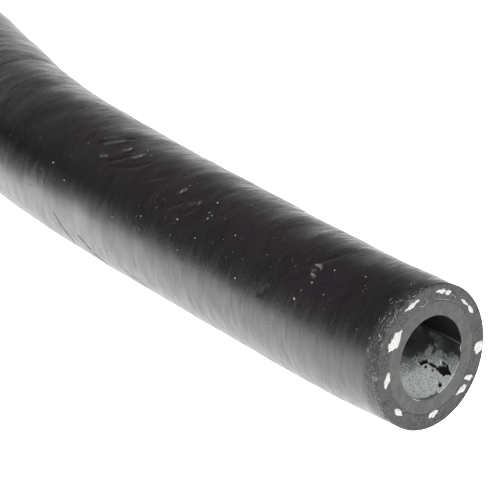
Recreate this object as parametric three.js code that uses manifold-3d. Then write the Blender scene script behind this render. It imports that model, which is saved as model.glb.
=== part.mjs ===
import * as THREE from 'three';
import { mergeVertices } from 'three/addons/utils/BufferGeometryUtils.js';
import Module from 'manifold-3d';

// Reinforced rubber fuel hose, one metre long, cut square at both ends.
// It lies on a level floor: a nearly straight stretch led out of a flat coil.
// Units are millimetres, +Z is up, and z = 0 is the floor under the hose.

// Section of the hose
const bore = 8;
const innerTubeWall = 1.25;
const bondGap = 0.3;
const coverWall = 1.45;

// Reinforcing yarns, wound side by side between the inner tube and the cover
const yarnCount = 9;
const yarnDiameter = 0.9;
const yarnGap = 0.2;
const yarnPitch = 27;
const yarnFirstAngle = 31;
const yarnShownLength = 8;

// Route of the centreline on the floor: the led-out stretch, starting at its cut end
const ledOutPoints = [
  [75.1, -107.1],
  [74.7, -99.1],
  [74.9, -91.1],
  [75.7, -75.1],
  [76.7, -59.1],
  [78.6, -43.2],
  [82.8, -27.7],
  [86.2, -15.9],
];

// The flat coil that takes up the rest of the length, wound inwards counter-clockwise
const coilStart = [88.9, 9.7];
const coilStartRadius = 93;
const coilStartAngle = -1.25;
const coilTurns = 1.73;
const coilTurnGap = 2.5;
const coilPointsPerTurn = 16;
const coilTailLength = 25.5;
const coilTailTurn = 17;

// How finely the solids are faceted
const hoseSides = 12;
const hoseSteps = 64;
const yarnSides = 6;
const yarnStepLength = 1.1;

const boreRadius = bore / 2;
const innerTubeRadius = boreRadius + innerTubeWall;
const coverInnerRadius = innerTubeRadius + bondGap;
const hoseRadius = coverInnerRadius + coverWall;
const hoseDiameter = 2 * hoseRadius;
const yarnCircleRadius = coverInnerRadius + yarnDiameter / 2;
const yarnOverrun = 2 * yarnDiameter;

const up = new THREE.Vector3(0, 0, 1);

const coverRubber = new THREE.MeshStandardMaterial({ color: 0x1d1d1f, roughness: 0.55, metalness: 0 });
const tubeRubber = new THREE.MeshStandardMaterial({ color: 0x454645, roughness: 0.7, metalness: 0 });
const yarnFibre = new THREE.MeshStandardMaterial({ color: 0xeeebe2, roughness: 0.95, metalness: 0 });

const wasm = await Module();
wasm.setup();

function coilPoints() {
  const pitch = hoseDiameter + coilTurnGap;
  const startAngle = THREE.MathUtils.degToRad(coilStartAngle);
  const centreX = coilStart[0] - coilStartRadius * Math.cos(startAngle);
  const centreY = coilStart[1] - coilStartRadius * Math.sin(startAngle);
  const count = Math.round(coilTurns * coilPointsPerTurn);
  const points = [];
  for (let i = 0; i <= count; i++) {
    const turn = (coilTurns * i) / count;
    const angle = startAngle + 2 * Math.PI * turn;
    const radius = coilStartRadius - pitch * turn;
    points.push([centreX + radius * Math.cos(angle), centreY + radius * Math.sin(angle)]);
  }
  return points;
}

// The short tail goes on from the coil's last two points, so its bend eases off towards the cut
function tailPoint(points) {
  const [fromX, fromY] = points.at(-2);
  const [toX, toY] = points.at(-1);
  const heading = Math.atan2(toY - fromY, toX - fromX) + THREE.MathUtils.degToRad(coilTailTurn);
  return [toX + coilTailLength * Math.cos(heading), toY + coilTailLength * Math.sin(heading)];
}

function hoseRoute() {
  const coil = coilPoints();
  const plan = [...ledOutPoints, ...coil, tailPoint(coil)];
  const points = plan.map(([x, y]) => new THREE.Vector3(x, y, hoseRadius));
  const route = new THREE.CatmullRomCurve3(points, false, 'centripetal');
  route.arcLengthDivisions = 4000;
  return route;
}

// A regular polygon around a circle, with a flat at the bottom so that the hose rests on it
function polygonPath(path, radius, sides) {
  const corner = radius / Math.cos(Math.PI / sides);
  for (let i = 0; i < sides; i++) {
    const angle = (2 * Math.PI * (i + 0.5)) / sides;
    const x = corner * Math.cos(angle);
    const y = corner * Math.sin(angle);
    if (i === 0) {
      path.moveTo(x, y);
    } else {
      path.lineTo(x, y);
    }
  }
  path.closePath();
  return path;
}

function tubeAlong(route, outerRadius, innerRadius) {
  const section = polygonPath(new THREE.Shape(), outerRadius, hoseSides);
  section.holes.push(polygonPath(new THREE.Path(), innerRadius, hoseSides));
  return new THREE.ExtrudeGeometry(section, {
    steps: hoseSteps,
    bevelEnabled: false,
    extrudePath: route,
  });
}

// Helical line around the hose's faceted centreline, from just outside a cut face to its hidden end
class YarnLine extends THREE.Curve {
  constructor(route, fromFarEnd, firstAngle) {
    super();
    this.route = route;
    this.facetLength = route.getLength() / hoseSteps;
    this.fromFarEnd = fromFarEnd;
    this.firstAngle = firstAngle;
  }

  getPoint(t, target = new THREE.Vector3()) {
    const depth = THREE.MathUtils.lerp(-yarnOverrun, yarnShownLength, t);
    const along = this.fromFarEnd ? hoseSteps * this.facetLength - depth : depth;
    const facet = THREE.MathUtils.clamp(Math.floor(along / this.facetLength), 0, hoseSteps - 1);
    const start = this.route.getPointAt(facet / hoseSteps);
    const forward = this.route.getPointAt((facet + 1) / hoseSteps).sub(start).normalize();
    const side = new THREE.Vector3().crossVectors(forward, up);
    const angle = this.firstAngle + (2 * Math.PI * along) / yarnPitch;
    return target
      .copy(start)
      .addScaledVector(forward, along - facet * this.facetLength)
      .addScaledVector(side, yarnCircleRadius * Math.cos(angle))
      .addScaledVector(up, yarnCircleRadius * Math.sin(angle));
  }
}

function roundBarAlong(line, radius) {
  const section = polygonPath(new THREE.Shape(), radius, yarnSides);
  return new THREE.ExtrudeGeometry(section, {
    steps: Math.ceil((yarnOverrun + yarnShownLength) / yarnStepLength),
    bevelEnabled: false,
    extrudePath: line,
  });
}

function toSolid(geometry) {
  const bare = geometry.clone();
  bare.deleteAttribute('normal');
  bare.deleteAttribute('uv');
  const merged = mergeVertices(bare, 1e-4);
  return new wasm.Manifold(new wasm.Mesh({
    numProp: 3,
    vertProperties: new Float32Array(merged.attributes.position.array),
    triVerts: new Uint32Array(merged.index.array),
  }));
}

function toGeometry(solid) {
  const mesh = solid.getMesh();
  const geometry = new THREE.BufferGeometry();
  geometry.setAttribute('position', new THREE.BufferAttribute(mesh.vertProperties, 3));
  geometry.setIndex(new THREE.BufferAttribute(mesh.triVerts, 1));
  const flat = geometry.toNonIndexed();
  flat.computeVertexNormals();
  return flat;
}

// A block that reaches inwards from a cut face, wide enough to hold the hose and its shown yarns
function insideOfCut(route, fromFarEnd) {
  const u = fromFarEnd ? 1 : 0;
  const inward = route.getTangentAt(u).multiplyScalar(fromFarEnd ? -1 : 1);
  const side = new THREE.Vector3().crossVectors(inward, up);
  const size = 2 * (hoseDiameter + yarnShownLength);
  const block = new THREE.BoxGeometry(size, size, size);
  const place = new THREE.Matrix4().makeBasis(side, inward, up);
  place.setPosition(route.getPointAt(u).addScaledVector(inward, size / 2));
  block.applyMatrix4(place);
  return toSolid(block);
}

function addMesh(group, name, geometry, material) {
  const mesh = new THREE.Mesh(geometry, material);
  mesh.name = name;
  group.add(mesh);
}

function buildHose() {
  const hose = new THREE.Group();
  const route = hoseRoute();
  let cover = toSolid(tubeAlong(route, hoseRadius, coverInnerRadius));

  for (const end of ['free_end', 'coil_end']) {
    const fromFarEnd = end === 'coil_end';
    const inside = insideOfCut(route, fromFarEnd);
    for (let i = 0; i < yarnCount; i++) {
      const firstAngle = THREE.MathUtils.degToRad(yarnFirstAngle + (360 * i) / yarnCount);
      const line = new YarnLine(route, fromFarEnd, firstAngle);
      const yarn = toSolid(roundBarAlong(line, yarnDiameter / 2)).intersect(inside);
      const channel = toSolid(roundBarAlong(line, yarnDiameter / 2 + yarnGap));
      cover = cover.subtract(channel);
      addMesh(hose, `yarn_${end}_${i + 1}`, toGeometry(yarn), yarnFibre);
    }
  }

  addMesh(hose, 'inner_tube', tubeAlong(route, innerTubeRadius, boreRadius), tubeRubber);
  addMesh(hose, 'cover', toGeometry(cover), coverRubber);
  return hose;
}

export default buildHose();
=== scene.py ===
"""Looks of a reinforced rubber fuel hose with a rough cut end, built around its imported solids.

Shapes are worked out in millimetres along the hose and turned into metres when a mesh is made.
A place on the hose is given by its length along it from the free end, its angle and its radius.
Angle 0 is the hose's right-hand side seen from the free end, and 90 degrees is its top.
"""
import itertools
import math

import bpy
import numpy as np
from mathutils import Matrix


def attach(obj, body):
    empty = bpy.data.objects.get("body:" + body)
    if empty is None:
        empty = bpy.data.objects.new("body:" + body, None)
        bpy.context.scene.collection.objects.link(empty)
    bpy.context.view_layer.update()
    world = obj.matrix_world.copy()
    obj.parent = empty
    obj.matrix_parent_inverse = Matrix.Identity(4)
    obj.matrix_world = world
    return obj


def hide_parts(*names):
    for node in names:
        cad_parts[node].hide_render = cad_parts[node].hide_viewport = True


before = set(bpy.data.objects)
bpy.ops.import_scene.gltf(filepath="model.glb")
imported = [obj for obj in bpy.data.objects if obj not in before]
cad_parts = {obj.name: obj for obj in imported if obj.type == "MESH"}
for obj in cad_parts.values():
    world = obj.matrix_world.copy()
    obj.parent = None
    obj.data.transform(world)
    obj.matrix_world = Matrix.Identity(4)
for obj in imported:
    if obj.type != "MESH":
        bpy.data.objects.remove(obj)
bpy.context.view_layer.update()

MM = 0.001
UP = np.array([0.0, 0.0, 1.0])

# Section of the hose
HOSE_RADIUS = 7.0
BOND_RADIUS = 5.4
BOND_SEAM = 0.005
BORE_RADIUS = 4.0

# Reinforcing yarns
YARN_COUNT = 9
YARN_PITCH = 27.0
YARN_CIRCLE_RADIUS = 6.0
YARN_FIRST_ANGLE = 31.0
YARN_DEPTH = 8.0

# Route of the centreline on the floor
LED_OUT_POINTS = [
    (75.1, -107.1), (74.7, -99.1), (74.9, -91.1), (75.7, -75.1),
    (76.7, -59.1), (78.6, -43.2), (82.8, -27.7), (86.2, -15.9),
]
COIL_START = (88.9, 9.7)
COIL_START_RADIUS = 93.0
COIL_START_ANGLE = -1.25
COIL_TURNS = 1.73
COIL_PITCH = 16.5
COIL_POINTS_PER_TURN = 16
COIL_TAIL_LENGTH = 25.5
COIL_TAIL_TURN = 17.0

# The free end's cut isn't quite square: its face leans this much from the hose's axis
CUT_LEAN_SIDEWAYS = 1.0
CUT_LEAN_BACK = 2.7

# Camera
CAMERA_AIM = np.array([77.7, -77.9, 7.0])
CAMERA_DISTANCE = 383.0
CAMERA_AZIMUTH = -40.369
CAMERA_ELEVATION = 22.042
CAMERA_ROLL = 2.81
CAMERA_LENS = 285.3


def add_object(name, data):
    made = bpy.data.objects.new(name, data)
    bpy.context.scene.collection.objects.link(made)
    return made


def make_camera():
    azimuth = math.radians(CAMERA_AZIMUTH)
    elevation = math.radians(CAMERA_ELEVATION)
    roll = math.radians(CAMERA_ROLL)
    level = np.array([math.cos(azimuth), math.sin(azimuth), 0.0])
    flat = np.array([-math.sin(azimuth), math.cos(azimuth), 0.0])
    forward = flat * math.cos(elevation) - UP * math.sin(elevation)
    above = np.cross(level, forward)
    right = level * math.cos(roll) + above * math.sin(roll)
    above = np.cross(right, forward)
    place = (CAMERA_AIM - CAMERA_DISTANCE * forward) * MM
    data = bpy.data.cameras.new("camera")
    data.lens = CAMERA_LENS
    data.sensor_width = 36.0
    data.clip_start = 0.01
    data.clip_end = 100.0
    camera = add_object("camera", data)
    turned = np.stack([right, above, -forward], axis=1)
    camera.matrix_world = Matrix.Translation(place) @ Matrix(turned.tolist()).to_4x4()
    bpy.context.scene.camera = camera


def route_points():
    """The points that the centreline passes through: the led-out stretch, the coil and its tail."""
    start_angle = math.radians(COIL_START_ANGLE)
    centre_x = COIL_START[0] - COIL_START_RADIUS * math.cos(start_angle)
    centre_y = COIL_START[1] - COIL_START_RADIUS * math.sin(start_angle)
    count = round(COIL_TURNS * COIL_POINTS_PER_TURN)
    points = list(LED_OUT_POINTS)
    for i in range(count + 1):
        turn = COIL_TURNS * i / count
        angle = start_angle + 2 * math.pi * turn
        radius = COIL_START_RADIUS - COIL_PITCH * turn
        points.append((centre_x + radius * math.cos(angle), centre_y + radius * math.sin(angle)))
    (from_x, from_y), (to_x, to_y) = points[-2:]
    heading = math.atan2(to_y - from_y, to_x - from_x) + math.radians(COIL_TAIL_TURN)
    points.append((to_x + COIL_TAIL_LENGTH * math.cos(heading), to_y + COIL_TAIL_LENGTH * math.sin(heading)))
    return np.array([(x, y, HOSE_RADIUS) for x, y in points])


def smooth_line(points, steps=100):
    """A centripetal Catmull-Rom curve through the points."""
    padded = np.concatenate([2 * points[:1] - points[1:2], points, 2 * points[-1:] - points[-2:-1]])
    t = np.linspace(0, 1, steps, endpoint=False)[:, None]
    line = []
    for p0, p1, p2, p3 in zip(padded, padded[1:], padded[2:], padded[3:]):
        d0, d1, d2 = (math.sqrt(np.linalg.norm(b - a)) for a, b in ((p0, p1), (p1, p2), (p2, p3)))
        m1 = ((p1 - p0) / d0 - (p2 - p0) / (d0 + d1) + (p2 - p1) / d1) * d1
        m2 = ((p2 - p1) / d1 - (p3 - p1) / (d1 + d2) + (p3 - p2) / d2) * d1
        bend = (2 * t**3 - 3 * t**2 + 1) * p1 + (t**3 - 2 * t**2 + t) * m1
        line.append(bend + (3 * t**2 - 2 * t**3) * p2 + (t**3 - t**2) * m2)
    return np.concatenate(line + [points[-1:]])


class Route:
    """The hose's centreline, looked up by the length along it."""

    def __init__(self, points, spacing=0.25):
        line = smooth_line(points)
        steps = np.linalg.norm(np.diff(line, axis=0), axis=1)
        arc = np.concatenate([[0.0], np.cumsum(steps)])
        self.length = arc[-1]
        self.arc = np.linspace(0, self.length, round(self.length / spacing) + 1)
        self.points = self._read(self.arc, arc, line)
        self.forwards = np.gradient(self.points, axis=0)

    @staticmethod
    def _read(along, arc, values):
        return np.stack([np.interp(along, arc, values[:, axis]) for axis in range(3)], axis=-1)

    def at(self, along):
        """The centre and the sideways direction at each length, straight on beyond both ends."""
        inside = np.clip(along, 0, self.length)
        forward = self._read(inside, self.arc, self.forwards)
        forward /= np.linalg.norm(forward, axis=-1, keepdims=True)
        centre = self._read(inside, self.arc, self.points) + (along - inside)[..., None] * forward
        return centre, np.cross(forward, UP)

    def place(self, along, angle, radius):
        """Points in the row frame for lengths, angles in radians and radii."""
        along, angle, radius = np.broadcast_arrays(along, angle, radius)
        centre, side = self.at(along)
        across = side * np.cos(angle)[..., None] + UP * np.sin(angle)[..., None]
        return centre + across * radius[..., None]


def noise(points, size, seed):
    """Smooth noise from -1 to 1 at points, with features of about this size."""
    spot = points / size + 17.31 * seed
    base = np.floor(spot).astype(np.int64)
    part = spot - base
    fade = part * part * (3 - 2 * part)
    total = np.zeros(points.shape[:-1])
    for corner in itertools.product((0, 1), repeat=3):
        cell = base + corner
        mixed = cell[..., 0] * 73856093 ^ cell[..., 1] * 19349663 ^ cell[..., 2] * 83492791
        mixed = (mixed * 2654435761) & 0xFFFFFFFF
        mixed = ((mixed ^ mixed >> 15) * 2246822519) & 0xFFFFFFFF
        value = (mixed ^ mixed >> 13) / 0x7FFFFFFF - 1
        weight = np.prod(np.where(corner, fade, 1 - fade), axis=-1)
        total += value * weight
    return total


def straightened(along, angle, radius):
    """Where a point would be if the hose were straight: patterns are laid out in this space."""
    along, angle, radius = np.broadcast_arrays(along, angle, radius)
    return np.stack([along, radius * np.cos(angle), radius * np.sin(angle)], axis=-1)


def smooth_step(low, high, value):
    t = np.clip((value - low) / (high - low), 0, 1)
    return t * t * (3 - 2 * t)


def bump_at(angle, centre, width):
    """1 at an angle in degrees, falling to 0 at this width on both sides of it."""
    away = np.abs((np.degrees(angle) - centre + 180) % 360 - 180)
    return 1 - smooth_step(0, width, away)


class Shape:
    """Vertices, faces and values at the vertices, gathered piece by piece."""

    def __init__(self):
        self.vertices = []
        self.faces = []
        self.materials = []
        self.values = {}
        self.count = 0

    def add(self, vertices, faces, material=0, **values):
        vertices = vertices.reshape(-1, 3)
        self.vertices.append(vertices)
        self.faces += [[corner + self.count for corner in face] for face in faces]
        self.materials += [material] * len(faces) if np.isscalar(material) else list(material)
        for name, value in values.items():
            self.values.setdefault(name, []).append(value.reshape(len(vertices), -1))
        self.count += len(vertices)

    def build(self, name, materials):
        mesh = bpy.data.meshes.new(name)
        mesh.from_pydata(np.concatenate(self.vertices) * MM, [], self.faces)
        mesh.polygons.foreach_set("material_index", self.materials)
        mesh.polygons.foreach_set("use_smooth", [True] * len(self.faces))
        for value_name, parts in self.values.items():
            value = np.concatenate(parts)
            is_vector = value.shape[1] == 3
            attribute = mesh.attributes.new(value_name, "FLOAT_VECTOR" if is_vector else "FLOAT", "POINT")
            attribute.data.foreach_set("vector" if is_vector else "value", value.astype(np.float32).ravel())
        for material in materials:
            mesh.materials.append(material)
        mesh.update()
        return add_object(name, mesh)


class Rings:
    """Rings of points around the hose, joined one to the next, and the last to the first."""

    def __init__(self):
        self.rings = []

    def add(self, along, angles, radius, material=0):
        along, angles, radius = np.broadcast_arrays(along, angles, radius)
        self.rings.append((along, angles, radius, material))

    def faces(self):
        starts = np.cumsum([0] + [len(ring[1]) for ring in self.rings])
        faces = []
        materials = []
        for a, (_, angles, _, material) in enumerate(self.rings):
            b = (a + 1) % len(self.rings)
            joined = join_rings(angles, self.rings[b][1], starts[a], starts[b])
            faces += joined
            materials += [material] * len(joined)
        return faces, materials

    def column(self, index):
        return np.concatenate([ring[index] for ring in self.rings])


def join_rings(angles_a, angles_b, start_a, start_b):
    """Faces between two rings: quads where they have the same points, and else triangles."""
    count_a, count_b = len(angles_a), len(angles_b)
    if count_a == count_b:
        here = np.arange(count_a)
        after = (here + 1) % count_a
        return np.stack([start_a + here, start_a + after, start_b + after, start_b + here], axis=1).tolist()
    next_a = np.append(angles_a[1:], angles_a[0] + 2 * math.pi)
    next_b = np.append(angles_b[1:], angles_b[0] + 2 * math.pi)
    faces = []
    i = j = 0
    while i < count_a or j < count_b:
        from_a, from_b = start_a + i % count_a, start_b + j % count_b
        if j == count_b or (i < count_a and next_a[i] <= next_b[j]):
            faces.append([from_a, start_a + (i + 1) % count_a, from_b])
            i += 1
        else:
            faces.append([from_a, start_b + (j + 1) % count_b, from_b])
            j += 1
    return faces


def even_angles(count):
    return np.linspace(0, 2 * math.pi, count, endpoint=False)


def capped_tube(columns, count):
    """Faces of a closed tube: rings of this many points, joined in order, with a cap at each end."""
    turn = even_angles(columns)
    last = (count - 1) * columns
    faces = [list(range(columns))[::-1], list(range(last, last + columns))]
    for start in range(0, last, columns):
        faces += join_rings(turn, turn, start, start + columns)
    return faces


def cut_depth(angle, radius):
    """How far the free end's leaning face lies from a square one."""
    sideways = math.tan(math.radians(CUT_LEAN_SIDEWAYS)) * np.cos(angle)
    back = math.tan(math.radians(CUT_LEAN_BACK)) * np.sin(angle)
    return radius * (sideways + back)


make_camera()
route = Route(route_points())

# How finely the cover and the inner tube are made
FACE_COLUMNS = 300
COIL_COLUMNS = 48
HIDDEN_COLUMNS = 24
SIGHT_COLUMN = 0.17
BACK_COLUMN = 0.55
SIGHT_FROM_ANGLE = 52.0
SIGHT_TO_ANGLE = 246.0
RIM_LENGTH = 3.0
SIGHT_LENGTH = 78.0
SIGHT_STEP = 0.22
COIL_STEP = 3.0
HIDDEN_STEP = 6.0
FACE_RINGS = 14
RIM_RINGS = 7
TORN_WALL_RINGS = 22
FAR_FACE_RINGS = 8
TUBE_FACE_RINGS = 16
TUBE_FAR_FACE_RINGS = 6


def sight_angles():
    """Angles of the columns along the stretch in the photo: close together on the side that shows."""
    arc = math.radians(1) * HOSE_RADIUS
    spans = [
        (SIGHT_FROM_ANGLE, SIGHT_TO_ANGLE, SIGHT_COLUMN),
        (SIGHT_TO_ANGLE, SIGHT_FROM_ANGLE + 360, BACK_COLUMN),
    ]
    degrees = np.concatenate([
        np.linspace(start, end, round((end - start) * arc / column), endpoint=False)
        for start, end, column in spans
    ])
    return np.sort(np.radians(degrees) % (2 * math.pi))


# Waves of the cover's wall, which are higher along its upper edge, and finer streaks:
# a streak has its height, the size of its features and its seed
WALL_SLANT = 0.8
WAVE_HEIGHT = 0.030
WAVE_SIZE = (2.6, 2.9, 2.9)
EDGE_WAVE_HEIGHT = 0.080
EDGE_WAVE_ANGLE = 68
EDGE_WAVE_SPREAD = 55
WALL_STREAKS = [(0.016, (1.0, 1.9, 1.9), 2), (0.006, (0.5, 1.5, 1.5), 3)]

# Marks on the cover: half width, height, and points as the length along and the angle.
# A negative height is a groove. All heights are multiplied by the strength, and a mark of the
# worn height is rubbed fully light.
MARK_STRENGTH = 1.5
WORN_HEIGHT = 0.07
MARKS = [
    # The first scuff: raised lines and the grooves between them
    (0.09, 0.03, [(47.5, 114), (46.9, 109), (46.2, 105)]),
    (0.11, 0.05, [(46.6, 118), (46.0, 113), (45.1, 105)]),
    (0.12, 0.03, [(48.6, 125), (48.4, 124)]),
    (0.11, 0.06, [(44.0, 116), (43.6, 113), (43.4, 108)]),
    (0.11, 0.05, [(45.7, 129), (44.8, 125)]),
    (0.13, 0.06, [(42.1, 117), (41.6, 113), (41.3, 107)]),
    (0.09, 0.03, [(40.8, 110), (40.6, 105)]),
    (0.08, 0.02, [(49.5, 104), (48.8, 106)]),
    (0.14, -0.06, [(44.4, 130), (43.2, 123), (42.6, 116)]),
    (0.14, -0.05, [(43.6, 132), (42.3, 129), (41.4, 126), (40.3, 120), (39.7, 113)]),
    (0.12, -0.05, [(47.6, 120), (47.0, 116)]),
    (0.13, -0.05, [(43.2, 115), (42.7, 110)]),
    (0.12, -0.04, [(45.5, 103), (44.7, 99)]),
    # The second scuff
    (0.10, 0.06, [(33.1, 125), (32.9, 121), (32.6, 117)]),
    (0.09, 0.04, [(29.9, 125), (29.7, 119)]),
    (0.09, 0.02, [(30.7, 130), (30.1, 123)]),
    (0.08, 0.02, [(34.4, 134), (33.7, 134)]),
    (0.08, 0.02, [(37.8, 130), (36.9, 123), (36.0, 117)]),
    (0.15, -0.07, [(33.8, 140), (32.9, 138), (32.0, 132), (31.7, 128)]),
    (0.16, -0.08, [(31.1, 138), (30.2, 134), (29.6, 126)]),
    (0.12, -0.04, [(31.2, 127), (30.6, 117)]),
    # The blemish near the cut end, and specks, a dent and a long shallow groove beside it
    (0.13, 0.07, [(11.9, 122), (11.2, 121), (10.9, 123)]),
    (0.10, 0.05, [(11.3, 125), (11.6, 128)]),
    (0.12, 0.06, [(11.4, 130), (10.8, 131)]),
    (0.07, 0.03, [(22.2, 131), (21.3, 131)]),
    (0.35, -0.06, [(16.3, 164), (15.3, 154)]),
    (0.16, -0.06, [(14.5, 144), (13.9, 136), (12.6, 127), (11.5, 116), (10.8, 106)]),
    # Long thin scratches low on the side
    (0.09, -0.08, [(50.3, 192), (49.6, 199), (48.8, 209), (48.1, 217), (47.8, 226)]),
    (0.10, -0.08, [(46.2, 202), (45.4, 207), (44.6, 214), (43.7, 219), (42.8, 225)]),
    (0.07, -0.05, [(45.9, 205), (44.9, 211), (44.5, 221)]),
    (0.09, -0.07, [(38.8, 212), (38.3, 217), (38.1, 222)]),
    (0.08, -0.06, [(37.7, 215), (36.7, 218), (35.7, 223)]),
]


def near_line(along, angle, radius, points):
    """How far places on a round wall are from a line over it, and their share of the line's length."""
    arc = math.radians(1) * radius
    spot = np.stack([along, np.degrees(angle) % 360 * arc], axis=-1)
    points = np.array(points) * (1, arc)
    lengths = np.linalg.norm(np.diff(points, axis=0), axis=1)
    before = np.cumsum(lengths) - lengths
    nearest = np.full(spot.shape[:-1], np.inf)
    share = np.zeros(spot.shape[:-1])
    for start, end, length, passed in zip(points, points[1:], lengths, before):
        part = np.clip((spot - start) @ (end - start) / length**2, 0, 1)
        away = np.linalg.norm(spot - start - part[..., None] * (end - start), axis=-1)
        share = np.where(away < nearest, (passed + part * length) / lengths.sum(), share)
        nearest = np.minimum(away, nearest)
    return nearest, share


def near_stroke(along, angle, half_width, points):
    """1 on a stroke over the cover, fading to 0 past its half width, and tapered to its ends."""
    places = [point[0] for point in points]
    if along.max() < min(places) - 1 or along.min() > max(places) + 1:
        return np.zeros(along.shape)
    away, share = near_line(along, angle, HOSE_RADIUS, points)
    taper = 0.35 + 0.65 * np.sqrt(4 * share * (1 - share))
    return np.exp(-((away / (half_width * taper)) ** 2))


def wall_relief(along, angle):
    """How far the cover's wall stands out from its true radius."""
    along, angle = np.broadcast_arrays(along, angle)
    spot = straightened(along + WALL_SLANT * np.cos(angle), angle, HOSE_RADIUS)
    wave = WAVE_HEIGHT + EDGE_WAVE_HEIGHT * bump_at(angle, EDGE_WAVE_ANGLE, EDGE_WAVE_SPREAD)
    relief = wave * noise(spot, WAVE_SIZE, 1)
    for height, size, seed in WALL_STREAKS:
        relief += height * noise(spot, size, seed)
    for half_width, height, points in MARKS:
        relief += MARK_STRENGTH * height * near_stroke(along, angle, half_width, points)
    return relief


# The torn rim of the cut end
BURR_RADIUS = 6.75
BURR_HEIGHT = 0.06
BURR_HALF_WIDTH = 0.1
TORN_LENGTH = 2.1
RIM_LUMP_HEIGHT = 0.07
RIM_LUMP_SIZE = (0.3, 0.5, 0.5)
RIM_START = 0.15
TORN_WALL_START = 0.04

# The far end's cut face, and how far from each end the bonded walls keep their rings
FAR_RIM = 0.1
FAR_FACE_ROUGHNESS = 0.03
HIDDEN_MARGIN = 1.5


def raggedness(angle):
    """How torn the rim is: most on the left of the face, some at its bottom, hardly on its right."""
    return 0.12 + 0.88 * bump_at(angle, 160, 95) + 0.35 * bump_at(angle, 270, 70)


def rim_fillet(angle):
    """Radius of the rounded rim, larger and less even where it is torn."""
    torn = raggedness(angle)
    spot = straightened(0.0, angle, HOSE_RADIUS)
    return (0.06 + 0.16 * torn) * (1 + 0.45 * torn * noise(spot, 1.3, 21))


def rim_lump(along, angle, radius):
    """Height of the lumps on the torn rim."""
    spot = straightened(along, angle, radius)
    return RIM_LUMP_HEIGHT * raggedness(angle) * noise(spot, RIM_LUMP_SIZE, 8)


def face_relief(angle, radius):
    """Height of the torn rubber on the free end's cut face."""
    spot = straightened(0.0, angle, radius)
    outer = smooth_step(BOND_RADIUS - 0.05, BOND_RADIUS + 0.5, radius)
    torn = raggedness(angle) * outer
    relief = (0.008 + 0.05 * torn) * noise(spot, 0.28, 5) + (0.004 + 0.03 * torn) * noise(spot, 0.14, 6)
    burr = BURR_HEIGHT * torn * np.exp(-(((radius - BURR_RADIUS) / BURR_HALF_WIDTH) ** 2))
    return relief + 0.05 * torn * noise(spot, 0.8, 7) + burr


def add_cut_face(rings, angles, inner, outer, count, material):
    """Rings over the free end's cut face, from one radius to the other."""
    for share in np.linspace(0, 1, count):
        radius = inner + share * (outer - inner)
        rings.add(cut_depth(angles, radius) - face_relief(angles, radius), angles, radius, material)


def add_torn_rim(rings, angles, fillet):
    """Rings over the rounded, torn rim, and over the wall just behind it."""
    for share in np.linspace(RIM_START, 1, RIM_RINGS):
        turn = share * math.pi / 2
        radius = HOSE_RADIUS - fillet * (1 - math.sin(turn))
        behind = fillet * (1 - math.cos(turn))
        lump = rim_lump(behind, angles, radius)
        sunk = (face_relief(angles, radius) + lump) * (1 - share)
        rings.add(behind + cut_depth(angles, radius) - sunk, angles, radius + lump * share, 1)
    for share in np.linspace(TORN_WALL_START, 1, TORN_WALL_RINGS):
        along = fillet + (RIM_LENGTH - fillet) * share + cut_depth(angles, HOSE_RADIUS) * (1 - share)
        lump = rim_lump(along, angles, HOSE_RADIUS) * (1 - smooth_step(0.3, 1, along / TORN_LENGTH))
        rings.add(along, angles, HOSE_RADIUS + lump + wall_relief(along, angles))


def add_long_wall(rings):
    """Rings over the stretch that the photo shows, and over the coil beyond it."""
    seen = sight_angles()
    coarse = even_angles(COIL_COLUMNS)
    for along in np.arange(RIM_LENGTH + SIGHT_STEP, SIGHT_LENGTH, SIGHT_STEP):
        rings.add(along, seen, HOSE_RADIUS + wall_relief(along, seen))
    count = round((route.length - SIGHT_LENGTH) / COIL_STEP)
    for along in np.linspace(SIGHT_LENGTH + 1, route.length, count):
        rings.add(along, coarse, HOSE_RADIUS + wall_relief(along, coarse))


def cover_rings():
    rings = Rings()
    fine = even_angles(FACE_COLUMNS)
    hidden = even_angles(HIDDEN_COLUMNS)
    fillet = rim_fillet(fine)
    inner = BOND_RADIUS + BOND_SEAM
    add_cut_face(rings, fine, inner, HOSE_RADIUS - fillet, FACE_RINGS, 1)
    add_torn_rim(rings, fine, fillet)
    add_long_wall(rings)
    # The far cut face, and the wall that is bonded to the inner tube
    for radius in np.linspace(HOSE_RADIUS - FAR_RIM, inner, FAR_FACE_RINGS):
        rough = FAR_FACE_ROUGHNESS * noise(straightened(0.0, fine, radius), 0.3, 9)
        rings.add(route.length + rough, fine, radius, 1)
    for along in hidden_stations():
        rings.add(along, hidden, inner)
    return rings


def hidden_stations():
    count = round(route.length / HIDDEN_STEP)
    return np.linspace(route.length - HIDDEN_MARGIN, HIDDEN_MARGIN, count)


def place_rings(rings, **extra):
    """The rings as a closed shape, with their straightened places kept for the materials."""
    along, angle, radius = (rings.column(index) for index in range(3))
    faces, materials = rings.faces()
    shape = Shape()
    vertices = route.place(along, angle, radius)
    straight = straightened(along, angle, radius)
    shape.add(vertices, outward(vertices, faces), materials, straight=straight, **extra)
    return shape


def outward(vertices, faces):
    """The faces, turned over if they enclose a negative volume."""
    volume = 0.0
    for corners in (3, 4):
        some = np.array([face for face in faces if len(face) == corners])
        if len(some):
            for second, third in ((1, 2), (2, 3))[:corners - 2]:
                a, b, c = (vertices[some[:, k]] for k in (0, second, third))
                volume += np.einsum("ij,ij->", a, np.cross(b, c))
    return faces if volume > 0 else [face[::-1] for face in faces]


# Tinted patches of the cover: length along, angle and half length
TINTED_PATCHES = [(45, 114, 9), (33, 122, 9), (21, 118, 8), (10, 130, 6)]
TINT_SPREAD = 45


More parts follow.
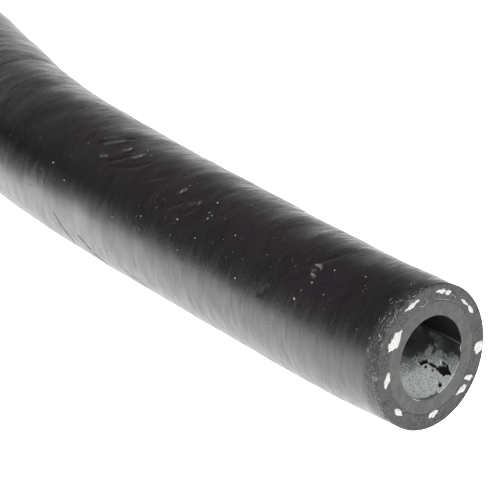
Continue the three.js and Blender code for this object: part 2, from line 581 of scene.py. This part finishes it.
def scuff_tint(along, angle):
    """Patches of the cover with a faint tint, around the scuffs."""
    spot = straightened(along, angle, HOSE_RADIUS)
    tint = np.zeros(along.shape)
    for centre, degrees, length in TINTED_PATCHES:
        near = np.exp(-(((along - centre) / length) ** 2)) * bump_at(angle, degrees, TINT_SPREAD)
        tint = np.maximum(tint, near)
    return tint * (0.7 + 0.3 * noise(spot, 4.0, 11))


def scuff_wear(along, angle):
    """How light the raised marks have been rubbed."""
    wear = np.zeros(along.shape)
    for half_width, height, points in MARKS:
        if height > 0:
            rubbed = height / WORN_HEIGHT * near_stroke(along, angle, 0.8 * half_width, points)
            wear = np.maximum(wear, rubbed)
    spot = straightened(along, angle, HOSE_RADIUS)
    return wear * (0.7 + 0.5 * noise(spot, 0.35, 12))


def dust_film(along, angle):
    """Faint dust low on the side, towards the bend."""
    low = bump_at(angle, 182, 30) * smooth_step(25, 50, along) * smooth_step(90, 60, along)
    return low * (0.7 + 0.5 * noise(straightened(along, angle, HOSE_RADIUS), (1.2, 3.0, 3.0), 13))


def torn_wall(along, angle):
    """Where the wall behind the rim is torn and linty."""
    return raggedness(angle) * (1 - smooth_step(0.4, 1, along / TORN_LENGTH)) * (along < RIM_LENGTH)


def new_material(name, color, roughness):
    material = bpy.data.materials.new(name)
    material.use_nodes = True
    shader = material.node_tree.nodes["Principled BSDF"]
    shader.inputs["Base Color"].default_value = (*color, 1)
    shader.inputs["Roughness"].default_value = roughness
    return material, material.node_tree, shader


def value_node(tree, name, output="Fac"):
    """A value that the mesh keeps at its vertices."""
    node = tree.nodes.new("ShaderNodeAttribute")
    node.attribute_name = name
    return node.outputs[output]


def noise_node(tree, vector, size, detail=2.0, turn=0.0):
    """Noise in the straightened hose's space: its features' size in mm, and their turn about the hose."""
    mapping = tree.nodes.new("ShaderNodeMapping")
    mapping.vector_type = "TEXTURE"
    mapping.inputs["Scale"].default_value = size if np.iterable(size) else (size, size, size)
    mapping.inputs["Rotation"].default_value = (math.radians(turn), 0, 0)
    tree.links.new(vector, mapping.inputs["Vector"])
    texture = tree.nodes.new("ShaderNodeTexNoise")
    texture.inputs["Scale"].default_value = 1.0
    texture.inputs["Detail"].default_value = detail
    tree.links.new(mapping.outputs["Vector"], texture.inputs["Vector"])
    return texture.outputs["Fac"]


def ramp_node(tree, value, stops):
    ramp = tree.nodes.new("ShaderNodeValToRGB")
    elements = ramp.color_ramp.elements
    while len(elements) < len(stops):
        elements.new(0.5)
    for element, (position, color) in zip(elements, stops):
        element.position = position
        element.color = (*color, 1)
    tree.links.new(value, ramp.inputs["Fac"])
    return ramp.outputs["Color"]


def grey(level):
    return (level, level, level)


def mix_node(tree, share, a, b):
    mix = tree.nodes.new("ShaderNodeMix")
    mix.data_type = "RGBA"
    tree.links.new(share, mix.inputs[0])
    for socket, value in ((mix.inputs[6], a), (mix.inputs[7], b)):
        if isinstance(value, tuple):
            socket.default_value = (*value, 1)
        else:
            tree.links.new(value, socket)
    return mix.outputs[2]


def range_node(tree, value, low, high):
    """0 where the value is at low, 1 where it is at high, and smooth in between."""
    node = tree.nodes.new("ShaderNodeMapRange")
    node.interpolation_type = "SMOOTHSTEP"
    node.inputs["From Min"].default_value = low
    node.inputs["From Max"].default_value = high
    tree.links.new(value, node.inputs["Value"])
    return node.outputs["Result"]


def math_node(tree, operation, *values):
    node = tree.nodes.new("ShaderNodeMath")
    node.operation = operation
    for socket, value in zip(node.inputs, values):
        if isinstance(value, (int, float)):
            socket.default_value = value
        else:
            tree.links.new(value, socket)
    return node.outputs["Value"]


def bump_node(tree, heights, shader):
    """Bumps one after another: each height is an output with its strength and its depth in millimetres."""
    normal = None
    for height, strength, depth in heights:
        bump = tree.nodes.new("ShaderNodeBump")
        bump.inputs["Strength"].default_value = strength
        bump.inputs["Distance"].default_value = depth * MM
        tree.links.new(height, bump.inputs["Height"])
        if normal is not None:
            tree.links.new(normal, bump.inputs["Normal"])
        normal = bump.outputs["Normal"]
    tree.links.new(normal, shader.inputs["Normal"])


def cover_material():
    material, tree, shader = new_material("cover rubber", grey(0.012), 0.45)
    shader.inputs["IOR"].default_value = 1.62
    straight = value_node(tree, "straight", "Vector")
    tint = value_node(tree, "tint")
    wear = value_node(tree, "wear")
    film = value_node(tree, "film")
    torn = value_node(tree, "torn")
    waves = noise_node(tree, straight, (1.6, 3.2, 3.2), 2)
    streaks = noise_node(tree, straight, (0.32, 1.9, 1.9), 3)
    fine = noise_node(tree, straight, (0.11, 0.8, 0.8), 2)
    grain = noise_node(tree, straight, 0.16, 2)
    mottle = noise_node(tree, straight, (1.2, 3, 3), 4)
    black = ramp_node(tree, mottle, [(0.3, grey(0.004)), (0.7, grey(0.009))])
    tinted = mix_node(tree, tint, black, (0.013, 0.006, 0.011))
    dusty = mix_node(tree, math_node(tree, "MULTIPLY", film, streaks), tinted, grey(0.17))
    specks = noise_node(tree, straight, (0.13, 0.2, 0.2), 3)
    lint = ramp_node(tree, specks, [(0.48, grey(0)), (0.62, grey(1))])
    linty = mix_node(tree, math_node(tree, "MULTIPLY", torn, lint), dusty, grey(0.06))
    worn = mix_node(tree, wear, linty, (0.30, 0.31, 0.31))
    tree.links.new(worn, shader.inputs["Base Color"])
    rough = ramp_node(tree, streaks, [(0.3, grey(0.34)), (0.7, grey(0.50))])
    matt = math_node(tree, "ADD", rough, math_node(tree, "MULTIPLY", torn, 0.4))
    tree.links.new(matt, shader.inputs["Roughness"])
    bump_node(tree, [
        (waves, 0.5, 0.07), (streaks, 0.6, 0.022), (fine, 0.6, 0.014), (grain, 0.7, 0.018),
    ], shader)
    return material


def cut_cover_material():
    material, tree, shader = new_material("cut cover rubber", grey(0.03), 0.7)
    shader.inputs["Specular IOR Level"].default_value = 0.25
    straight = value_node(tree, "straight", "Vector")
    specks = noise_node(tree, straight, 0.19, 3)
    tone = ramp_node(tree, specks, [
        (0.32, grey(0.010)), (0.5, grey(0.030)), (0.64, grey(0.046)), (0.76, grey(0.13)),
    ])
    patches = noise_node(tree, straight, (1, 1.1, 1.1), 3)
    smeared = ramp_node(tree, patches, [(0.4, grey(0)), (0.6, grey(0.7))])
    color = mix_node(tree, smeared, tone, grey(0.042))
    tree.links.new(color, shader.inputs["Base Color"])
    bump_node(tree, [(specks, 0.5, 0.04)], shader)
    return material


def make_cover():
    rings = cover_rings()
    along, angle = rings.column(0), rings.column(1)
    shape = place_rings(
        rings, tint=scuff_tint(along, angle), wear=scuff_wear(along, angle),
        film=dust_film(along, angle), torn=torn_wall(along, angle),
    )
    return shape.build("cover_wall", [cover_material(), cut_cover_material()])


# The inner tube's bore, as far in as the camera sees
BORE_SIGHT = 9.0
BORE_STEP = 0.09
BORE_START = 0.04
CRACK_DEPTH = 0.25

# Small chamfers of the bore's two mouths
MOUTH_CHAMFER = 0.02
FAR_MOUTH_CHAMFER = 0.03

# The ridge along the bore's wall: length along and angle
RIDGE_HEIGHT = 0.09
RIDGE_HALF_WIDTH = 0.07
RIDGE = [(0.0, 4.0), (1.5, 6.0), (3.3, 7.0), (5.8, 8.0)]

# The chalky bloom's upper edge: length along and angle
BLOOM_EDGE = [
    (0.3, -13), (1.1, -17), (1.8, -16), (2.1, -12), (2.9, -10), (3.5, -14), (4.0, -21), (4.4, -33),
    (5.4, -37), (6.5, -44), (9.0, -60),
]

# Cracks in the bore's wall: points as length along and angle, and the half width at each
CRACKS = [
    (
        [
            (5.0, 318), (4.8, 318), (4.2, 317), (3.6, 321), (3.0, 321),
            (2.1, 320), (1.5, 321), (0.7, 321), (0.45, 320),
        ],
        [0.02, 0.07, 0.19, 0.09, 0.13, 0.14, 0.28, 0.30, 0.06],
    ),
    ([(5.0, 324), (4.6, 324)], [0.05, 0.06]),
    ([(3.4, 316), (3.3, 315)], [0.08, 0.07]),
    ([(2.6, 315), (2.3, 316)], [0.06, 0.08]),
    ([(1.84, 330), (1.5, 329)], [0.05, 0.06]),
    ([(1.2, 327), (1.0, 326)], [0.10, 0.10]),
    ([(5.6, 305), (5.2, 305)], [0.05, 0.05]),
    ([(5.35, 296), (4.9, 296)], [0.05, 0.06]),
    ([(3.8, 333), (3.75, 337)], [0.05, 0.04]),
    ([(1.0, 304), (0.8, 301), (0.5, 300)], [0.06, 0.14, 0.08]),
]


def crack_depth(along, angle):
    """Positive inside a crack or a pit of the bore's wall, and the distance from it in mm outside."""
    spot = straightened(along, angle, BORE_RADIUS)
    ragged = 0.10 * noise(spot, 0.30, 31) + 0.06 * noise(spot, 0.13, 32)
    depth = np.full(spot.shape[:-1], -BORE_SIGHT)
    for points, half_widths in CRACKS:
        away, share = near_line(along, angle, BORE_RADIUS, points)
        half = np.interp(share, np.linspace(0, 1, len(half_widths)), half_widths)
        depth = np.maximum(depth, half * (1.4 + 3 * ragged) + 0.9 * ragged - away)
    return depth


def crack_mask(along, angle):
    return smooth_step(-0.03, 0.05, crack_depth(along, angle))


def from_ridge(along, angle):
    """Signed distance of places on the bore's wall above its ridge, in mm."""
    places, degrees = zip(*RIDGE)
    away = np.degrees(angle) - np.interp(along, places, degrees)
    return ((away + 180) % 360 - 180) * math.radians(1) * BORE_RADIUS


def bloom_mask(along, angle):
    """How much chalky bloom lies on the bore's wall: most on its lowest part, none above the ridge. It also
    holds a painted highlight along the ridge, brighter towards the mouth, and a painted shadow along the
    lower lip at the mouth.
    """
    spot = straightened(along, angle, BORE_RADIUS)
    degrees = (np.degrees(angle) + 180) % 360 - 180
    places, edges = zip(*BLOOM_EDGE)
    below = np.interp(along, places, edges) - degrees
    ragged = 11 * noise(spot, 0.55, 33) + 7 * noise(spot, 0.2, 34)
    chalky = smooth_step(-6, 9, below + ragged) * (0.55 + 0.45 * smooth_step(0, 45, below))
    above = from_ridge(along, angle)
    film = 0.26 * smooth_step(0, -0.5, above) * (0.75 + 0.5 * noise(spot, 0.9, 35))
    film *= 1 - 0.6 * np.exp(-(((along - 1.2) / 0.9) ** 2 + ((degrees + 2) / 12) ** 2))
    # Painted highlight: a thin light line along the ridge, brighter towards the mouth.
    painted_ridge_highlight = np.exp(-((above / RIDGE_HALF_WIDTH) ** 2)) * (0.14 + 0.26 * smooth_step(3.5, 0.5, along))
    chips = 0.30 * np.exp(-(((crack_depth(along, angle) + 0.09) / 0.07) ** 2)) * (below > 0)
    # Painted shadow: the bloom is dimmed along the torn lower lip at the mouth.
    painted_lip_shadow = 0.35 + 0.65 * smooth_step(0.02, 0.28, along + 0.15 * noise(spot, 0.3, 36))
    painted_lip_shadow = np.where((degrees > -130) & (degrees < -72), painted_lip_shadow, 1)
    return np.clip((np.maximum(film, chalky) + chips) * painted_lip_shadow + painted_ridge_highlight, 0, 1) * (above < 0.25)


def bore_relief(along, angle):
    """How far the bore's wall stands in from its true radius."""
    spot = straightened(along, angle, BORE_RADIUS)
    above = from_ridge(along, angle)
    ridge = RIDGE_HEIGHT * np.exp(-((above / RIDGE_HALF_WIDTH) ** 2))
    step = 0.05 * smooth_step(0.0, 0.15, above) * (above < 3)
    texture = 0.010 * noise(spot, 0.25, 37) + 0.02 * noise(spot, 1.5, 38)
    return ridge - step + texture - CRACK_DEPTH * crack_mask(along, angle)


def inner_tube_rings():
    rings = Rings()
    fine = even_angles(FACE_COLUMNS)
    coarse = even_angles(COIL_COLUMNS)
    hidden = even_angles(HIDDEN_COLUMNS)
    outer = BOND_RADIUS - BOND_SEAM
    for along in hidden_stations()[::-1]:
        rings.add(along, hidden, outer)
    for radius in np.linspace(outer, BORE_RADIUS + FAR_MOUTH_CHAMFER, TUBE_FAR_FACE_RINGS):
        rings.add(route.length, fine, radius)
    count = round(route.length / COIL_STEP)
    for along in np.linspace(route.length - FAR_MOUTH_CHAMFER, BORE_SIGHT + 1, count):
        rings.add(along, coarse, BORE_RADIUS, 1)
    for along in np.arange(BORE_SIGHT, BORE_START, -BORE_STEP):
        leaning = along + cut_depth(fine, BORE_RADIUS) * (1 - along / BORE_SIGHT)
        rings.add(leaning, fine, BORE_RADIUS - bore_relief(leaning, fine), 1)
    add_cut_face(rings, fine, BORE_RADIUS + MOUTH_CHAMFER, outer, TUBE_FACE_RINGS, 0)
    return rings


def cut_tube_material():
    material, tree, shader = new_material("cut tube rubber", grey(0.05), 0.6)
    shader.inputs["Specular IOR Level"].default_value = 0.25
    straight = value_node(tree, "straight", "Vector")
    mottle = noise_node(tree, straight, 0.8, 5)
    scores = noise_node(tree, straight, (1, 2.6, 0.13), 3, 50)
    tone = ramp_node(tree, mottle, [(0.3, grey(0.038)), (0.7, grey(0.062))])
    scored = ramp_node(tree, scores, [(0.42, grey(0.45)), (0.6, grey(0))])
    color = mix_node(tree, scored, tone, grey(0.022))
    tree.links.new(color, shader.inputs["Base Color"])
    bump_node(tree, [(mottle, 0.3, 0.03), (scores, 0.6, 0.03)], shader)
    return material


def bore_material():
    material, tree, shader = new_material("bore wall", grey(0.03), 0.6)
    shader.inputs["Specular IOR Level"].default_value = 0.2
    straight = value_node(tree, "straight", "Vector")
    # The bloom value also carries a painted highlight along the ridge and a painted shadow at the lower lip,
    # and the chalk colours below paint them in.
    bloom = value_node(tree, "bloom")
    crack = value_node(tree, "crack")
    specks = noise_node(tree, straight, 0.17, 4)
    speckled = ramp_node(tree, specks, [(0.34, grey(0.62)), (0.54, grey(1))])
    patchy = math_node(tree, "MULTIPLY", bloom, speckled)
    chalk_and_painted_light = ramp_node(tree, patchy, [
        (0.0, grey(0.004)), (0.12, (0.022, 0.023, 0.022)), (0.3, (0.075, 0.083, 0.076)),
        (0.6, (0.18, 0.192, 0.182)), (1.0, (0.43, 0.445, 0.435)),
    ])
    cracked = mix_node(tree, crack, chalk_and_painted_light, grey(0.006))
    tree.links.new(cracked, shader.inputs["Base Color"])
    bump_node(tree, [(specks, 0.5, 0.03)], shader)
    return material


def make_inner_tube():
    rings = inner_tube_rings()
    along, angle = rings.column(0), rings.column(1)
    shape = place_rings(rings, bloom=bloom_mask(along, angle), crack=crack_mask(along, angle))
    return shape.build("inner_tube_wall", [cut_tube_material(), bore_material()])


# Cut yarn ends on the free end's face, in the order of their solids: each is one lump or two.
# A lump has its angle, its radius, its length, its width and how it leans from the ring's direction.
FREE_YARN_ENDS = [
    [(46, 6.07, 1.17, 0.34, 3), (34, 6.11, 1.13, 0.44, 4)],
    [(80, 6.28, 1.36, 0.46, -1), (71, 6.18, 0.86, 0.50, 11)],
    [(114.5, 6.32, 2.05, 0.58, -3)],
    [(149, 5.55, 2.46, 1.45, -13)],
    [(188, 5.68, 1.63, 0.80, -19)],
    [(226, 5.91, 1.40, 0.60, 3)],
    [(275, 5.74, 1.36, 0.74, 12)],
    [(327, 6.02, 1.23, 0.62, -64), (314.5, 6.00, 1.33, 0.66, -22)],
    [(354.4, 6.33, 1.38, 1.15, -34)],
]
LUMP_COLUMNS = 40
LUMP_RINGS = 9
LUMP_POINTEDNESS = 1.35
LUMP_HEIGHT = 0.06
LUMP_DEPTHS = (0.15, 1.0, 2.5, 4.5, YARN_DEPTH)

# The far end's yarn ends are alike, apart from their lean and their seeds
FAR_LUMP_LENGTH = 1.35
FAR_LUMP_WIDTH = 0.75
FAR_LUMP_LEAN = 17
FAR_LUMP_SEED = 200


def yarn_lump(shape, from_far_end, lump, seed):
    """A cut yarn end: a ragged, fibrous leaf that stands a little proud, on its helical yarn."""
    degrees, radius, length, width, lean = lump
    theta = even_angles(LUMP_COLUMNS)
    around = np.stack([np.cos(theta), np.sin(theta), np.full(LUMP_COLUMNS, float(seed))], axis=-1)
    leaf = np.abs(np.cos(theta)) ** LUMP_POINTEDNESS + np.abs(np.sin(theta)) ** LUMP_POINTEDNESS
    leaf = leaf ** (-1 / LUMP_POINTEDNESS)
    leaf *= 1 + 0.26 * noise(around, 0.55, 41) + 0.11 * noise(around, 0.25, 42)
    heading = math.radians(degrees + 90 + lean)
    long_way = leaf * np.cos(theta) * length / 2
    cross_way = leaf * np.sin(theta) * width / 2
    out_a = long_way * math.cos(heading) - cross_way * math.sin(heading)
    out_b = long_way * math.sin(heading) + cross_way * math.cos(heading)
    centre_a = radius * math.cos(math.radians(degrees))
    centre_b = radius * math.sin(math.radians(degrees))
    vertices = []
    straight = []

    def add_ring(size, height, depth):
        a, b = centre_a + size * out_a, centre_b + size * out_b
        angle, ring_radius = np.arctan2(b, a), np.hypot(a, b)
        if from_far_end:
            along = route.length + height - depth
        else:
            along = cut_depth(angle, ring_radius) - height + depth
        twist = 2 * math.pi * (-depth if from_far_end else depth) / YARN_PITCH
        vertices.append(route.place(along, angle + twist, ring_radius))
        straight.append(straightened(along, angle, ring_radius))

    for size in np.linspace(0.04, 1, LUMP_RINGS):
        spot = np.stack([size * out_a, size * out_b, np.full(LUMP_COLUMNS, float(seed))], axis=-1)
        fibres = 0.03 * noise(spot, 0.12, 43) + 0.03 * noise(spot, 0.4, 44)
        add_ring(size, LUMP_HEIGHT * (1 - size**3) + fibres, 0.0)
    for depth in LUMP_DEPTHS:
        add_ring(0.98, 0.0, depth)
    faces = capped_tube(LUMP_COLUMNS, len(vertices))
    points = np.concatenate(vertices)
    shape.add(points, outward(points, faces), straight=np.concatenate(straight))


def yarn_material():
    material, tree, shader = new_material("yarn fibre", grey(0.32), 0.9)
    straight = value_node(tree, "straight", "Vector")
    strands = noise_node(tree, straight, 0.12, 4)
    color = ramp_node(tree, strands, [(0.3, (0.22, 0.22, 0.21)), (0.65, (0.42, 0.42, 0.41))])
    tree.links.new(color, shader.inputs["Base Color"])
    bump_node(tree, [(strands, 0.6, 0.05)], shader)
    return material


def make_yarns():
    material = yarn_material()
    yarns = []
    far_turn = 360 * route.length / YARN_PITCH
    for i, lumps in enumerate(FREE_YARN_ENDS):
        shape = Shape()
        for k, lump in enumerate(lumps):
            yarn_lump(shape, False, lump, 10 * i + k)
        yarns.append((shape.build(f"yarn_end_{i + 1}", [material]), f"yarn_free_end_{i + 1}"))
    for i in range(YARN_COUNT):
        shape = Shape()
        degrees = YARN_FIRST_ANGLE + 360 / YARN_COUNT * i + far_turn
        lean = FAR_LUMP_LEAN * math.sin(2.3 * i)
        lump = (degrees, YARN_CIRCLE_RADIUS, FAR_LUMP_LENGTH, FAR_LUMP_WIDTH, lean)
        yarn_lump(shape, True, lump, FAR_LUMP_SEED + i)
        yarns.append((shape.build(f"yarn_far_end_{i + 1}", [material]), f"yarn_coil_end_{i + 1}"))
    return yarns


# Strands of the cut end in millimetres: half thickness, and points as angle, radius and height off the face
FACE_STRANDS = [
    (0.035, [
        (107.5, 5.64, 0.0), (103.5, 5.50, 0.06), (99.0, 5.64, 0.10), (98.5, 5.96, 0.10), (100.5, 6.13, 0.0),
    ]),
    (0.030, [(66.8, 6.08, 0.0), (62.0, 5.99, 0.08), (59.0, 5.83, 0.0)]),
    (0.030, [(229.1, 5.57, 0.0), (231.5, 5.45, 0.04), (233.4, 5.34, 0.0)]),
    (0.045, [(3.8, 3.92, 0.02), (-1.5, 3.84, 0.04), (-6.5, 3.98, 0.04), (-11.3, 4.38, 0.0)]),
    (0.040, [(121.0, 6.65, 0.0), (116.0, 6.72, 0.05), (111.0, 6.66, 0.06), (107.0, 6.50, 0.0)]),
    (0.035, [(118.0, 6.35, 0.0), (120.5, 6.60, 0.08), (116.5, 6.85, 0.05), (110.0, 6.78, 0.0)]),
    (0.040, [(232.0, 4.05, 0.0), (245.0, 4.08, 0.03), (256.0, 4.03, 0.0)]),
    (0.030, [(86.0, 5.62, 0.0), (71.0, 5.52, 0.02), (57.0, 5.55, 0.0)]),
]
STRAND_SIDES = 5

# Lint along the torn rim, around this angle, and the range of angles that it keeps to
LINT_COUNT = 230
LINT_SEED = 11
LINT_ANGLE = 162
LINT_FROM_ANGLE = 95
LINT_TO_ANGLE = 250

# Specks of dust on the cover: length along, angle and size
DUST = [
    (28.1, 115, 0.13), (10.7, 136, 0.13), (11.6, 153, 0.13), (8.7, 140, 0.08), (11.3, 145, 0.08),
    (6.3, 112, 0.10), (9.6, 119, 0.11), (20.0, 161, 0.11), (14.1, 182, 0.11), (12.4, 84, 0.09),
    (5.2, 89, 0.09), (39.9, 167, 0.10), (35.8, 155, 0.10), (30.8, 143, 0.11), (27.4, 131, 0.10),
    (27.2, 127, 0.10), (27.8, 126, 0.08), (51.4, 153, 0.10), (48.7, 161, 0.09), (54.4, 181, 0.10),
    (27.3, 149, 0.08), (47.2, 182, 0.08), (22.8, 132, 0.08), (13.7, 216, 0.08),
]
SCATTERED_DUST = 260
DUST_SEED = 5
DUST_SIDES = 6
DUST_REACH = (0.5, 72)
DUST_ANGLES = (60, 235)
SMALLEST_DUST = 0.03


def patchy_material(name, level, roughness, size, dark, light):
    """A matt grey that goes from dark to light in patches of this size."""
    material, tree, shader = new_material(name, grey(level), roughness)
    patches = noise_node(tree, value_node(tree, "straight", "Vector"), size, 2)
    color = ramp_node(tree, patches, [(0.35, grey(dark)), (0.65, grey(light))])
    tree.links.new(color, shader.inputs["Base Color"])
    return material


def strand(shape, points, half_thickness):
    """A thin closed strand along a smooth line through points of the straightened hose."""
    line = smooth_line(np.array(points, dtype=float), 5)
    runs = np.gradient(line, axis=0)
    runs /= np.linalg.norm(runs, axis=1, keepdims=True)
    first = np.cross(runs, (0.31, 0.52, 0.79))
    first /= np.linalg.norm(first, axis=1, keepdims=True)
    second = np.cross(runs, first)
    turn = even_angles(STRAND_SIDES)
    thickness = half_thickness * np.sin(np.linspace(0.4, math.pi - 0.4, len(line)))
    across = first[:, None] * np.cos(turn)[:, None] + second[:, None] * np.sin(turn)[:, None]
    straight = (line[:, None] + thickness[:, None, None] * across).reshape(-1, 3)
    vertices = route.place(
        straight[:, 0], np.arctan2(straight[:, 2], straight[:, 1]), np.hypot(straight[:, 1], straight[:, 2]),
    )
    faces = capped_tube(STRAND_SIDES, len(line))
    shape.add(vertices, outward(vertices, faces), straight=straight)


def add_lint(shape):
    random = np.random.default_rng(LINT_SEED)
    for _ in range(LINT_COUNT):
        middle = random.normal(LINT_ANGLE, 34)
        place = random.exponential(0.45)
        heading = random.normal(0, 0.5)
        length = random.uniform(0.12, 0.55)
        bend = random.normal(0, 0.07, 4)
        half_thickness = random.uniform(0.014, 0.034)
        if LINT_FROM_ANGLE < middle < LINT_TO_ANGLE and place < TORN_LENGTH:
            run = np.linspace(-0.5, 0.5, len(bend)) * length
            angle = np.radians(middle) + run * math.cos(heading) / HOSE_RADIUS
            along = place + run * math.sin(heading) + bend
            on_face = np.maximum(-along, 0)
            depth = np.maximum(along, 0) + cut_depth(angle, HOSE_RADIUS)
            radius = HOSE_RADIUS + 0.01 + wall_relief(depth, angle) * (along > 0) - on_face
            strand(shape, straightened(depth, angle, radius), half_thickness)


def make_strands():
    """Loose fibres on the cut face, and short lint along the torn side of its rim."""
    shape = Shape()
    for half_thickness, points in FACE_STRANDS:
        angle, radius, height = np.array(points).T
        angle = np.radians(angle)
        along = cut_depth(angle, radius) - height
        strand(shape, straightened(along, angle, radius), half_thickness)
    add_lint(shape)
    return shape.build("loose_fibres", [patchy_material("torn fibre", 0.12, 0.8, 0.8, 0.04, 0.30)])


def add_speck(shape, along, degrees, size, random):
    """A low dome that sits on the cover."""
    turn = even_angles(DUST_SIDES)
    lumpy = size * (1 + 0.35 * random.uniform(-1, 1, DUST_SIDES))
    middle = math.radians(degrees)
    base = HOSE_RADIUS + wall_relief(np.array([along]), np.array([middle]))[0]
    places = []
    for share, height in ((1.0, -0.04), (0.95, 0.25 * size), (0.5, 0.55 * size)):
        angle = middle + share * lumpy * np.sin(turn) / HOSE_RADIUS
        places.append((along + share * lumpy * np.cos(turn), angle, base + height))
    vertices = np.concatenate([route.place(*place) for place in places])
    straight = np.concatenate([straightened(*place) for place in places])
    faces = capped_tube(DUST_SIDES, len(places))
    shape.add(vertices, outward(vertices, faces), straight=straight)


def make_dust():
    random = np.random.default_rng(DUST_SEED)
    specks = list(DUST)
    for _ in range(SCATTERED_DUST):
        place = (random.uniform(*DUST_REACH), random.uniform(*DUST_ANGLES))
        specks.append((*place, SMALLEST_DUST + random.exponential(0.012)))
    shape = Shape()
    for along, degrees, size in specks:
        add_speck(shape, along, degrees, size, random)
    return shape.build("dust_specks", [patchy_material("dust", 0.2, 0.9, 2.0, 0.07, 0.28)])


# Light: a glowing white floor, a white backdrop behind the hose, a soft box in front of its cut face,
# and a dim room elsewhere. Directions point towards the light. Widths are cosines off them, and
# heights are a direction's z. Each goes from one value, where the light is off, to the other.
FLOOR_REACH = 4.0
FLOOR_GLOW = 2.45
ROOM_GLOW = 0.12
HORIZON_GLOW = 1.0
HORIZON_HEIGHT = (0.06, 0.0)
BACKDROP_GLOW = 2.7
BACKDROP_DIRECTION = (0.407, 0.914, 0.0)
BACKDROP_WIDTH = (0.82, 0.95)
BACKDROP_HEIGHT = (0.52, 0.05)
BOX_GLOW = 7.0
BOX_DIRECTION = (-0.15, -0.75, 0.64)
BOX_WIDTH = (0.87, 0.94)


def make_floor():
    mesh = bpy.data.meshes.new("floor")
    corners = [(x * FLOOR_REACH, y * FLOOR_REACH, 0) for x, y in ((-1, -1), (1, -1), (1, 1), (-1, 1))]
    mesh.from_pydata(corners, [], [(0, 1, 2, 3)])
    material, _, shader = new_material("floor", grey(0.8), 0.6)
    shader.inputs["Emission Color"].default_value = (1, 1, 1, 1)
    shader.inputs["Emission Strength"].default_value = FLOOR_GLOW
    mesh.materials.append(material)
    floor = add_object("floor", mesh)


def towards_node(tree, direction, aim, width):
    """1 where a world direction points close to the aim, falling to 0 away from it."""
    dot = tree.nodes.new("ShaderNodeVectorMath")
    dot.operation = "DOT_PRODUCT"
    dot.inputs[1].default_value = aim
    tree.links.new(direction, dot.inputs[0])
    return range_node(tree, dot.outputs["Value"], *width)


def make_world():
    world = bpy.data.worlds.new("studio")
    world.use_nodes = True
    tree = world.node_tree
    background = tree.nodes["Background"]
    background.inputs["Color"].default_value = (1, 1, 1, 1)
    direction = tree.nodes.new("ShaderNodeTexCoord").outputs["Generated"]
    split = tree.nodes.new("ShaderNodeSeparateXYZ")
    tree.links.new(direction, split.inputs["Vector"])
    height = split.outputs["Z"]
    backdrop = math_node(
        tree, "MULTIPLY",
        towards_node(tree, direction, BACKDROP_DIRECTION, BACKDROP_WIDTH),
        range_node(tree, height, *BACKDROP_HEIGHT),
    )
    backdrop = math_node(tree, "MULTIPLY", backdrop, BACKDROP_GLOW)
    horizon = math_node(tree, "MULTIPLY", range_node(tree, height, *HORIZON_HEIGHT), HORIZON_GLOW)
    box = math_node(tree, "MULTIPLY", towards_node(tree, direction, BOX_DIRECTION, BOX_WIDTH), BOX_GLOW)
    glow = math_node(tree, "ADD", math_node(tree, "MAXIMUM", backdrop, horizon), box)
    tree.links.new(math_node(tree, "ADD", glow, ROOM_GLOW), background.inputs["Strength"])
    bpy.context.scene.world = world


cover = make_cover()
inner_tube = make_inner_tube()
yarns = make_yarns()
strands = make_strands()
dust = make_dust()

for piece, node, slot in [
    (cover, "cover", "cover_rubber"),
    (inner_tube, "inner_tube", "tube_rubber"),
    *((yarn, node, "yarn_fibre") for yarn, node in yarns),
]:
    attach(piece, "root")
    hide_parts(node)
for piece in (strands, dust):
    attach(piece, "root")

stations = np.linspace(0, route.length, 250)
path = route.place(stations, 0.0, 0.0) * MM

make_floor()
make_world()
bpy.context.scene.view_settings.view_transform = "Standard"
